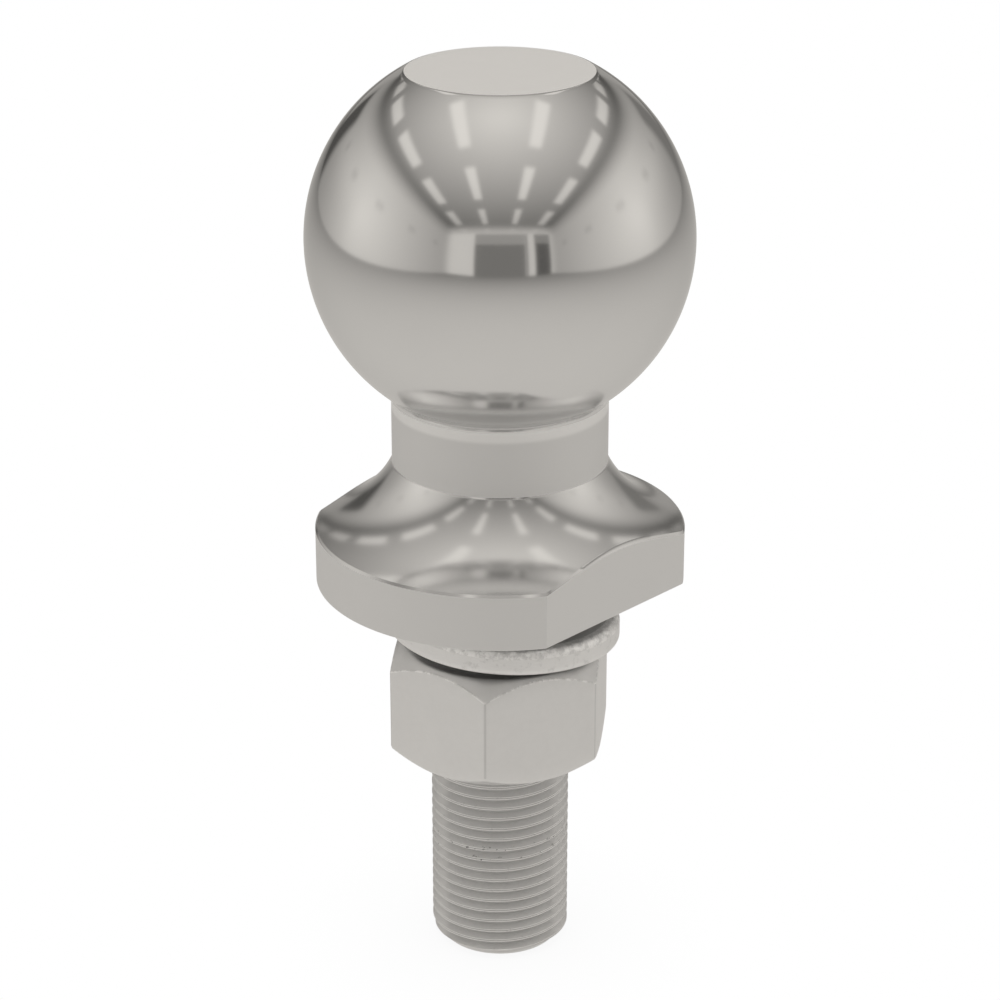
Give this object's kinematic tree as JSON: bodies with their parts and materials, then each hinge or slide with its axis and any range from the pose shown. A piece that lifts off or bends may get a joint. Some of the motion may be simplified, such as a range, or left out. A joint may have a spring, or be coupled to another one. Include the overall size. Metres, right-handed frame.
{
  "type": "trailer hitch ball",
  "caption": "One-piece trailer hitch ball with a flared collar, wrench flats and a threaded shank, with its spring lock washer and hex nut.",
  "frame": {"origin": "centre of the collar's seat, the flat ring that lies on the drawbar, on the shank's axis", "axes": "+Z along the shank's axis from the seat towards the ball; +X and -X are the normals of the two wrench flats"},
  "size_m": [0.0508, 0.0508, 0.1242],
  "materials": {
    "chrome": "chrome plate, polished on the ball and flare, satin on the neck, rim, flats and top flat, bright-drawn grey on the thread",
    "zinc_washer": "zinc plate over sheared spring steel, semi-matte with nicked edges",
    "zinc_nut": "zinc plate, matte"
  },
  "bodies": {
    "ball_and_shank": {"hitch_ball": "chrome"},
    "washer": {"lock_washer": "zinc_washer"},
    "nut": {"hex_nut": "zinc_nut"}
  },
  "joints": [
    {"name": "washer_slide", "type": "slide", "parent": "ball_and_shank", "child": "washer", "axis": [0, 0, 1], "range_m": [-0.0286, 0]},
    {"name": "nut_spin", "type": "hinge", "parent": "washer", "child": "nut", "pos_m": [0, 0, -0.0174], "axis": [0, 0, 1], "range_deg": [-6480, 0]}
  ],
  "couplings": [
    {"joint": "washer_slide", "follows": "nut_spin", "m_per_rad": 0.00025266}
  ]
}
